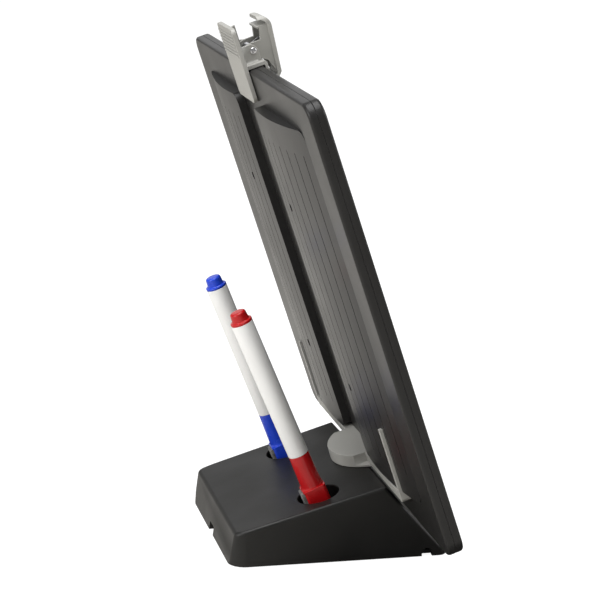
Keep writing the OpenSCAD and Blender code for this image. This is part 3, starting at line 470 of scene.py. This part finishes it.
# Pivot pin and spring of the clip: a bright steel pin with domed heads, and round spring wire
# wound about it, with one leg up against the rear plate and one against the lever's skin.
SIDEWAYS = np.array([1.0, 0, 0])
UPRIGHT = np.array([0, 0, 1.0])
PIN_CENTRE = (-6.0 * MM, 236.9 * MM)
PIN_RADIUS = 1.25 * MM
PIN_HEAD_RADIUS = 1.69 * MM
PIN_HEAD_HEIGHT = 0.6 * MM
PIN_SIDES = 32
CHEEK_HALF_SPAN = 12.4 * MM
WIRE_RADIUS = 0.5 * MM
WIRE_SIDES = 14
CURL_RADIUS = 2.2 * MM
CURL_PITCH = 1.6 * MM
CURLS = 6
POINTS_A_CURL = 36
LEG_RISE = 5.5 * MM
LEG_FOOT = 2.0 * MM
REAR_LEG_LEVEL = -0.25 * MM
LEVER_LEG_LEVEL = -16.2 * MM
CORNER_CUT = 0.25
SAME_POINT = 0.001 * MM
SPRING_LIGHT = (0.28, 0.28, 0.29)
SPRING_DARK = (0.16, 0.16, 0.165)
RIVET_LIGHT = (0.75, 0.75, 0.77)
RIVET_DARK = (0.55, 0.55, 0.57)

# Dome of a pin's head, from its rim to its middle: share of its radius, and drop from its crown.
HEAD_DOME = ((1.0, 0.35 * MM), (0.8, 0.1 * MM), (0.45, 0.0), (0.0, 0.0))

# A direction that no wire starts in, from which the first side of its tube is found.
ACROSS_WIRE = (1.0, 0.3, 0.2)


def from_board(x, rearward, upward):
    """Points of the part, from x, distance behind the back plane and height up the board."""
    y = BOARD_ORIGIN[1] + rearward * math.cos(BOARD_TILT) + upward * math.sin(BOARD_TILT)
    z = BOARD_ORIGIN[2] - rearward * math.sin(BOARD_TILT) + upward * math.cos(BOARD_TILT)
    return np.stack(np.broadcast_arrays(x, y, z), axis=-1)


def ringed_piece(name, points):
    """Mesh of rings of points, an array (rings, points, 3): a quad between any four neighbours."""
    rings, columns = points.shape[:2]
    ring, column = np.meshgrid(np.arange(rings - 1), np.arange(columns), indexing="ij")
    across = (column + 1) % columns
    corners = ((ring, column), (ring, across), (ring + 1, across), (ring + 1, column))
    quads = np.stack([row * columns + place for row, place in corners], axis=-1).reshape(-1, 4)
    mesh = bpy.data.meshes.new(name)
    mesh.from_pydata(points.reshape(-1, 3), [], quads)
    mesh.polygons.foreach_set("use_smooth", np.ones(len(quads), bool))
    shape = bmesh.new()
    shape.from_mesh(mesh)
    bmesh.ops.remove_doubles(shape, verts=shape.verts, dist=SAME_POINT)
    bmesh.ops.recalc_face_normals(shape, faces=shape.faces)
    shape.to_mesh(mesh)
    shape.free()
    return in_scene(name, mesh)


def turned(name, profile, centre, axis, side, sides):
    """Surface of revolution: each (radius, height) of the profile makes a ring round the axis."""
    radius, height = np.array(profile, float).T
    angle = np.linspace(0, 2 * math.pi, sides, endpoint=False)
    third = np.cross(axis, side)
    rings = (
        centre + height[:, None, None] * axis
        + radius[:, None, None] * (np.cos(angle)[:, None] * side + np.sin(angle)[:, None] * third)
    )
    return ringed_piece(name, rings)


def swept_tube(name, path, radius, sides):
    """Round tube: a circle square to the path's direction at each of its points, closed ends.

    Each circle starts at the side of the last one, turned square to the path again."""
    along = np.gradient(path, axis=0)
    along /= np.linalg.norm(along, axis=1)[:, None]
    side = np.zeros_like(path)
    side[0] = np.cross(along[0], ACROSS_WIRE)
    for i in range(1, len(path)):
        side[i] = side[i - 1] - along[i] * np.dot(side[i - 1], along[i])
        side[i] /= np.linalg.norm(side[i])
    side[0] /= np.linalg.norm(side[0])
    third = np.cross(along, side)
    angle = np.linspace(0, 2 * math.pi, sides, endpoint=False)
    ring = np.cos(angle)[:, None] * side[:, None, :] + np.sin(angle)[:, None] * third[:, None, :]
    body = path[:, None, :] + radius * ring
    first = np.repeat(path[:1, None, :], sides, axis=1)
    last = np.repeat(path[-1:, None, :], sides, axis=1)
    return ringed_piece(name, np.concatenate([first, body, last]))


def cut_corners(points, times=3):
    """Path with softer bends: each time, every line keeps two points, a quarter from its ends."""
    for _ in range(times):
        early = (1 - CORNER_CUT) * points[:-1] + CORNER_CUT * points[1:]
        late = CORNER_CUT * points[:-1] + (1 - CORNER_CUT) * points[1:]
        middle = np.stack([early, late], axis=1).reshape(-1, points.shape[1])
        points = np.concatenate([points[:1], middle, points[-1:]])
    return points


def spring_path():
    """Leg down the rear plate, curls round the pin, and leg up the lever's skin.

    The curls are a helix: at t turns, x is the pitch times t, the distance behind the back plane
    is the radius times the cosine of t, and the height is less the radius times its sine. Half a
    turn less than the curls brings the wire from the plate's side of the pin to the lever's."""
    turns = CURLS - 0.5
    turn = np.linspace(0, turns, int(turns * POINTS_A_CURL) + 1)
    x = -CURLS * CURL_PITCH / 2 + CURL_PITCH * turn
    rearward = PIN_CENTRE[0] + CURL_RADIUS * np.cos(2 * math.pi * turn)
    upward = PIN_CENTRE[1] - CURL_RADIUS * np.sin(2 * math.pi * turn)
    leg_top = PIN_CENTRE[1] + LEG_RISE
    leg_bend = leg_top - LEG_FOOT
    stub = 2 * WIRE_RADIUS
    rear_leg = np.array([
        (x[0], REAR_LEG_LEVEL, leg_top),
        (x[0], REAR_LEG_LEVEL, leg_bend),
        (x[0], rearward[0], upward[0] + stub),
        (x[0], rearward[0], upward[0]),
    ])
    lever_leg = np.array([
        (x[-1], rearward[-1], upward[-1]),
        (x[-1], rearward[-1], upward[-1] + stub),
        (x[-1], LEVER_LEG_LEVEL, leg_bend),
        (x[-1], LEVER_LEG_LEVEL, leg_top),
    ])
    curls = np.stack([x, rearward, upward], axis=-1)
    route = np.concatenate([cut_corners(rear_leg)[:-1], curls, cut_corners(lever_leg)[1:]])
    return from_board(*route.T)


def pin_profile():
    """Radius and height along the pin: dome, head and shank, and the same the other way round."""
    crown = CHEEK_HALF_SPAN + PIN_HEAD_HEIGHT
    head = [(PIN_HEAD_RADIUS, CHEEK_HALF_SPAN)]
    head += [(share * PIN_HEAD_RADIUS, crown - drop) for share, drop in HEAD_DOME]
    other_head = [(radius, -height) for radius, height in head[::-1]]
    return other_head + [(PIN_RADIUS, -CHEEK_HALF_SPAN), (PIN_RADIUS, CHEEK_HALF_SPAN)] + head


spring_steel = steel(
    "dark_spring_steel", SPRING_DARK, SPRING_LIGHT, rough=(0.3, 0.42), squeeze=20,
)
bright_steel = steel(
    "bright_rivet_steel", RIVET_DARK, RIVET_LIGHT, rough=(0.2, 0.3), squeeze=20,
)
finished(
    swept_tube("clip_torsion_spring", spring_path(), WIRE_RADIUS, WIRE_SIDES),
    spring_steel, "clip", "clip_spring",
)
pin_middle = from_board(0.0, *PIN_CENTRE)
finished(
    turned("clip_pivot_pin", pin_profile(), pin_middle, SIDEWAYS, UPRIGHT, PIN_SIDES),
    bright_steel, "clip", "clip_pin",
)


# Markers: a white barrel tube with a coloured end plug, pushed into a glossy cap of the ink's
# colour. The cap ends in a square collar, and a pad of grey wool felt is glued to its rear side.
CREST = np.array([0, -23.3, 39.0]) * MM
TOP_DROP = 21.0 * MM
TOP_RUN = 76.7 * MM
SLOPE = math.atan2(TOP_DROP, TOP_RUN)
POCKET_SPACING = 76 * MM
POCKET_SETBACK = 31.3 * MM
POCKET_DEPTH = 14.5 * MM
SEAT_GAP = 0.3 * MM
MARKER_OFFSET = 1.2 * MM
COLLAR_SIDE = 12.2 * MM
CAP_LENGTH = 38.2 * MM
CAP_EDGE_RADIUS = 0.2 * MM
BARREL_END = 114.2 * MM
BARREL_RADIUS = 5.35 * MM
BARREL_END_RADIUS = 5.65 * MM
BARREL_WALL = 1.1 * MM
BARREL_RIM = 0.2 * MM
NECK_LENGTH = 10 * MM
NECK_RADIUS = 4.15 * MM
NECK_BORE = 3.05 * MM
SPIGOT_LENGTH = 5 * MM
SPIGOT_INSET = 1.15 * MM
FLANGE_HEIGHT = 1.4 * MM
FLANGE_RIM = 0.4 * MM
KNOB_RADIUS = 4.4 * MM
KNOB_HEIGHT = 4.8 * MM
KNOB_TAPER = 0.25 * MM
KNOB_FILLET = 0.5 * MM
KNOB_DOME = 1.3 * MM
KNOB_DOME_ANGLE = 80
MARKER_SIDES = 72
FELT_THICKNESS = 1.8 * MM
FELT_SEAT = 0.6 * MM
FELT_MARGIN = 1.0 * MM
FELT_TOP = 18.3 * MM
FELT_POINTS = 160
FELT_POWER = 0.16
FELT_FRET = 0.012
FELT_FRETS = (17, 29)
FELT_WAVE = 0.03
FELT_WAVES = 13
FELT_NAP = 0.25 * MM
FELT_NAP_STRENGTH = 0.8
FELT_SHEEN = 0.3
FELT_ROUGH = (0.88, 1.0)
FELT_SCALES = {"Patch Scale": 420, "Grain Scale": 2200}
BARREL_LIGHT = (0.88, 0.88, 0.87)
BARREL_DARK = (0.85, 0.85, 0.84)
FELT_LIGHT = (0.14, 0.136, 0.125)
FELT_DARK = (0.06, 0.058, 0.053)
FIBRE_LIGHT = (0.8, 0.79, 0.74)
FIBRE_DARK = (0.6, 0.59, 0.55)

# Rings of the felt pad, from its glued side to the middle of its face: share of its thickness,
# and share of its outline. Those with a smaller outline than the last number are on the face.
FELT_DEPTHS = np.array([0, 0.2, 0.7, 0.9, 1.0, 1.0, 1.0])
FELT_OUTLINES = np.array([1, 1, 1, 0.985, 0.93, 0.5, 0.0])
FELT_FACE = 0.99

# Of each ink: its side of the stand, the degrees that its marker leans in its pocket, and the
# darkest and lightest colour of its plastic.
MARKER_KINDS = {
    "blue": (1, 6.1, (0.01, 0.04, 0.45), (0.016, 0.062, 0.6)),
    "red": (-1, 7.1, (0.42, 0.006, 0.008), (0.52, 0.01, 0.012)),
}


def felt(name, dark, light):
    """Pressed fibres: one noise mixes the two colours, and a finer one raises and dulls the nap."""
    material, tree, shader = blank_material(name)
    source = placed(tree, grain_group, FELT_SCALES)
    colour = mixed(tree, ranged(tree, source["Patches"], 0, 1), dark, light)
    tree.links.new(colour, shader.inputs["Base Color"])
    tree.links.new(ranged(tree, source["Grain"], *FELT_ROUGH), shader.inputs["Roughness"])
    shader.inputs["Sheen Weight"].default_value = FELT_SHEEN
    bumped(tree, shader, source["Grain"], FELT_NAP, FELT_NAP_STRENGTH)
    return material


def marker_frame(side, play):
    """Foot and axes of a marker, which leans back by the slope and its play in the pocket.

    The rear edge of its foot is a small gap above the pocket's floor. So the foot is sunk, along
    the marker, by the pocket's depth less the gap and less half the collar times the sine of the
    play, all over the cosine of the play."""
    tilt = math.radians(play)
    lean = SLOPE + tilt
    down_slope = np.array([0, math.cos(SLOPE), -math.sin(SLOPE)])
    axis = np.array([0, math.sin(lean), math.cos(lean)])
    rear = np.array([0, math.cos(lean), -math.sin(lean)])
    sunk = (POCKET_DEPTH - SEAT_GAP - COLLAR_SIDE / 2 * math.sin(tilt)) / math.cos(tilt)
    aside = np.array([side * POCKET_SPACING / 2, 0, 0])
    mouth = CREST + down_slope * (POCKET_SETBACK + MARKER_OFFSET) + aside
    return mouth - sunk * axis, axis, rear


def arc(centre, radius, start, end, steps=6):
    """Points of a circle's arc in the profile's plane, with its angles in degrees."""
    angle = np.radians(np.linspace(start, end, steps + 1))
    across, up = centre[0] + radius * np.cos(angle), centre[1] + radius * np.sin(angle)
    return list(zip(across, up))


def felt_pad(name, origin, axis, rear):
    """Pad with a rounded square outline and a soft outer face, stood on the marker's rear side.

    Its outline has the cosine and the sine of the angle, each to a small power, as width and
    height. A product of two sines frets the outline, and another sine makes the face wavy."""
    half_width = COLLAR_SIDE / 2 - FELT_MARGIN
    half_height = (FELT_TOP - FELT_MARGIN) / 2
    angle = np.linspace(0, 2 * math.pi, FELT_POINTS, endpoint=False)
    across = np.sign(np.cos(angle)) * np.abs(np.cos(angle)) ** FELT_POWER
    up = np.sign(np.sin(angle)) * np.abs(np.sin(angle)) ** FELT_POWER
    slow, fast = FELT_FRETS
    fretted = 1 - FELT_FRET * (1 + np.sin(slow * angle) * np.sin(fast * angle))
    outline = FELT_OUTLINES[:, None]
    wave = FELT_WAVE * (outline < FELT_FACE) * (1 + np.sin(FELT_WAVES * angle))
    x = half_width * outline * across * fretted
    height = FELT_MARGIN + half_height * (1 + outline * up * fretted)
    depth = COLLAR_SIDE / 2 - FELT_SEAT + (FELT_DEPTHS[:, None] - wave) * FELT_THICKNESS
    rings = origin + x[..., None] * SIDEWAYS + height[..., None] * axis + depth[..., None] * rear
    back = np.repeat(rings[:1].mean(axis=1, keepdims=True), FELT_POINTS, axis=1)
    return ringed_piece(name, np.concatenate([back, rings]))


def plug_profile():
    """Spigot inside the barrel, thin round-rimmed flange, fillet, and knob with a domed top."""
    spigot_bottom = BARREL_END - SPIGOT_LENGTH
    spigot_radius = BARREL_RADIUS - SPIGOT_INSET
    flange_top = BARREL_END + FLANGE_HEIGHT
    flange_core = BARREL_END_RADIUS - FLANGE_RIM
    knob_top = flange_top + KNOB_HEIGHT
    crown = KNOB_RADIUS - KNOB_TAPER - KNOB_DOME
    return (
        [(0, spigot_bottom), (spigot_radius, spigot_bottom), (spigot_radius, BARREL_END)]
        + arc((flange_core, BARREL_END + FLANGE_RIM), FLANGE_RIM, -90, 0)
        + arc((flange_core, flange_top - FLANGE_RIM), FLANGE_RIM, 0, 90)
        + arc((KNOB_RADIUS + KNOB_FILLET, flange_top + KNOB_FILLET), KNOB_FILLET, 270, 180)
        + arc((crown, knob_top - KNOB_DOME), KNOB_DOME, 0, KNOB_DOME_ANGLE, 8)
        + [(crown / 2, knob_top), (0, knob_top)]
    )


def barrel_profile():
    """Neck inside the cap, shoulder, and a tube that widens to its far end, all with one wall."""
    neck_start = CAP_LENGTH - NECK_LENGTH
    bore = BARREL_RADIUS - BARREL_WALL
    shoulder = CAP_LENGTH + BARREL_WALL
    return (
        [(NECK_BORE, neck_start), (NECK_RADIUS, neck_start), (NECK_RADIUS, CAP_LENGTH)]
        + arc((BARREL_RADIUS - BARREL_RIM, CAP_LENGTH + BARREL_RIM), BARREL_RIM, -90, 0, 4)
        + arc((BARREL_END_RADIUS - BARREL_RIM, BARREL_END - BARREL_RIM), BARREL_RIM, 0, 90, 4)
        + [(bore, BARREL_END), (bore, shoulder), (NECK_BORE, shoulder), (NECK_BORE, neck_start)]
    )


barrel_white = plastic(
    "barrel_white", BARREL_DARK, BARREL_LIGHT, rough=(0.3, 0.4), patch_scale=25,
    grain_scale=1800, grain_depth=0.006 * MM, tooth=0.2,
)
fibre_white = felt("bonded_white_fibre", FIBRE_DARK, FIBRE_LIGHT)
grey_felt = felt("grey_wool_felt", FELT_DARK, FELT_LIGHT)
for ink, (side, play, dark, light) in MARKER_KINDS.items():
    origin, axis, rear = marker_frame(side, play)
    cap_body = f"{ink}_cap_body"
    pen_body = f"{ink}_pen_body"
    gloss = plastic(
        f"{ink}_glossy_plastic", dark, light, rough=(0.2, 0.3), patch_scale=60,
        grain_scale=1600, grain_depth=0.006 * MM, tooth=0.2, coat=0.1, shine=0.35,
    )
    soaked_fibre = plastic(
        f"{ink}_soaked_fibre", dark, light, rough=(0.75, 0.9), patch_scale=900,
        grain_depth=0.05 * MM, tooth=0.6,
    )
    cap = softened(f"{ink}_cap", f"{ink}_marker_cap", even_radii(CAP_EDGE_RADIUS), segments=2)
    finished(cap, gloss, cap_body, f"{ink}_cap")
    pad = felt_pad(f"{ink}_felt_pad", origin, axis, rear)
    finished(pad, grey_felt, cap_body, f"{ink}_eraser")
    tube = turned(f"{ink}_marker_barrel", barrel_profile(), origin, axis, SIDEWAYS, MARKER_SIDES)
    finished(tube, barrel_white, pen_body, f"{ink}_barrel")
    plug = turned(f"{ink}_marker_end", plug_profile(), origin, axis, SIDEWAYS, MARKER_SIDES)
    finished(plug, gloss, pen_body, f"{ink}_end_plug")
    dressed(barrel_white, f"{ink}_nib_holder")
    dressed(fibre_white, f"{ink}_ink_core")
    dressed(soaked_fibre, f"{ink}_nib")


# Studio: a pale floor in a white surround, and soft lamps overhead, behind the markers, on the
# writing side and, weakly, on the far side. Only the camera sees all of it so: to other rays the
# surround is dim, and the floor has a painted shadow, dark under the stand and on its writing side.
FLOOR_SIZE = 12.0

# The floor's painted shadow is an oval around y = -0.1 m: once the coordinates are squeezed and
# then shifted, the painted shadow is dark within the first reach of their middle, gone past the
# second.
PAINTED_SHADOW_SQUEEZE = (1.0, 1.5, 1.0)
PAINTED_SHADOW_SHIFT = (0.0, 0.15, 0.0)
PAINTED_SHADOW_REACH = 0.16
PAINTED_SHADOW_FADE_REACH = 0.23
UNSEEN_PAINTED_SHADOW = (0.03, 0.03, 0.03)
UNSEEN_PALE = (0.66, 0.64, 0.6)
FLOOR_SHOWN = (0.25, 0.25, 0.25)
FLOOR_GLOW = 0.95
FLOOR_ROUGHNESS = 0.9
SURROUND_UNSEEN = 0.3
SURROUND_SHOWN = 1.0
WHITE = (1, 1, 1, 1)

# Almost straight up, so that a lamp that looked straight down would have a side as well.
NEARLY_UP = (0.0, 0.02, 1.0)


def pale_floor():
    """Floor: pale to the camera, with a soft shadow; to other rays, a painted shadow in the patch.
    """
    material, tree, shader = blank_material("pale_floor")
    place = tree.nodes.new("ShaderNodeTexCoord")
    oval = tree.nodes.new("ShaderNodeMapping")
    oval.inputs["Scale"].default_value = PAINTED_SHADOW_SQUEEZE
    oval.inputs["Location"].default_value = PAINTED_SHADOW_SHIFT
    away = tree.nodes.new("ShaderNodeVectorMath")
    away.operation = "LENGTH"
    tree.links.new(place.outputs["Object"], oval.inputs["Vector"])
    tree.links.new(oval.outputs["Vector"], away.inputs[0])
    # Painted shadow: to other rays the floor is dark near the stand and pale further out.
    distance = ranged(tree, away.outputs["Value"], 0, 1, PAINTED_SHADOW_REACH, PAINTED_SHADOW_FADE_REACH)
    unseen_painted_shadow_colour = mixed(tree, distance, UNSEEN_PAINTED_SHADOW, UNSEEN_PALE)
    path = tree.nodes.new("ShaderNodeLightPath")
    shown = tree.nodes.new("ShaderNodeMix")
    shown.data_type = "RGBA"
    shown.inputs["B"].default_value = (*FLOOR_SHOWN, 1)
    tree.links.new(path.outputs["Is Camera Ray"], shown.inputs["Factor"])
    tree.links.new(unseen_painted_shadow_colour, shown.inputs["A"])
    tree.links.new(shown.outputs["Result"], shader.inputs["Base Color"])
    shader.inputs["Roughness"].default_value = FLOOR_ROUGHNESS
    shader.inputs["Specular IOR Level"].default_value = 0.0
    shader.inputs["Emission Color"].default_value = WHITE
    glow = tree.nodes.new("ShaderNodeMath")
    glow.operation = "MULTIPLY"
    glow.inputs[1].default_value = FLOOR_GLOW
    tree.links.new(path.outputs["Is Camera Ray"], glow.inputs[0])
    tree.links.new(glow.outputs["Value"], shader.inputs["Emission Strength"])
    return material


half = FLOOR_SIZE / 2
floor_corners = [(-half, -half, 0), (half, -half, 0), (half, half, 0), (-half, half, 0)]
floor_mesh = bpy.data.meshes.new("studio_floor")
floor_mesh.from_pydata(floor_corners, [], [(0, 1, 2, 3)])
floor_mesh.materials.append(pale_floor())
floor = in_scene("studio_floor", floor_mesh)


def set_up(thing, right, up, back, place):
    """Puts a lamp or camera at place, with its X, Y and Z axes along right, up and back."""
    rows = np.stack([right, up, back, place], axis=1).tolist()
    thing.matrix_world = Matrix([*rows, (0, 0, 0, 1)])


def soft_light(name, place, aim, size, power):
    """Square area light at place that faces aim."""
    lamp = bpy.data.lights.new(name, "AREA")
    lamp.size = size
    lamp.energy = power
    ray = np.array(aim, float) - np.array(place, float)
    ray /= np.linalg.norm(ray)
    side = np.cross(ray, NEARLY_UP)
    side /= np.linalg.norm(side)
    set_up(in_scene(name, lamp), side, np.cross(side, ray), -ray, place)


soft_light("overhead", place=(-0.2, 0.3, 1.7), aim=(0, 0, 0.1), size=1.2, power=29)
soft_light("behind", place=(-0.6, 1.6, 0.7), aim=(0, 0, 0.12), size=1.0, power=17.5)
soft_light("far_side", place=(2.0, -0.1, 0.9), aim=(0, 0, 0.2), size=1.2, power=2)
soft_light("writing_side", place=(-0.3, -1.6, 0.9), aim=(0, 0, 0.12), size=1.0, power=12)

world = bpy.data.worlds.new("white_surround")
world.use_nodes = True
sky = world.node_tree
surround = sky.nodes["Background"]
surround.inputs["Color"].default_value = WHITE
rays = sky.nodes.new("ShaderNodeLightPath")
strength = sky.nodes.new("ShaderNodeMapRange")
strength.inputs["To Min"].default_value = SURROUND_UNSEEN
strength.inputs["To Max"].default_value = SURROUND_SHOWN
sky.links.new(rays.outputs["Is Camera Ray"], strength.inputs["Value"])
sky.links.new(strength.outputs["Result"], surround.inputs["Strength"])
bpy.context.scene.world = world
bpy.context.scene.view_settings.view_transform = "Standard"


# Camera: behind the board and beside it, at the photograph's viewing angle. Its place is in
# metres, its lens and sensor in millimetres, and its shift in widths of the picture.
CAMERA_PLACE = (-1.02542, 0.24407, 0.37915)
CAMERA_RIGHT = (-0.22314, -0.97479, 0.00170)
CAMERA_UP = (0.22723, -0.05032, 0.97254)
CAMERA_BACK = (-0.94793, 0.21739, 0.23273)
CAMERA_SENSOR = 36
CAMERA_LENS = 125.14
CAMERA_SHIFT = (0.00298, -0.01026)
camera = bpy.data.cameras.new("photo_camera")
camera.sensor_width = CAMERA_SENSOR
camera.lens = CAMERA_LENS
camera.shift_x, camera.shift_y = CAMERA_SHIFT
photo_camera = in_scene("photo_camera", camera)
set_up(photo_camera, CAMERA_RIGHT, CAMERA_UP, CAMERA_BACK, CAMERA_PLACE)
bpy.context.scene.camera = photo_camera
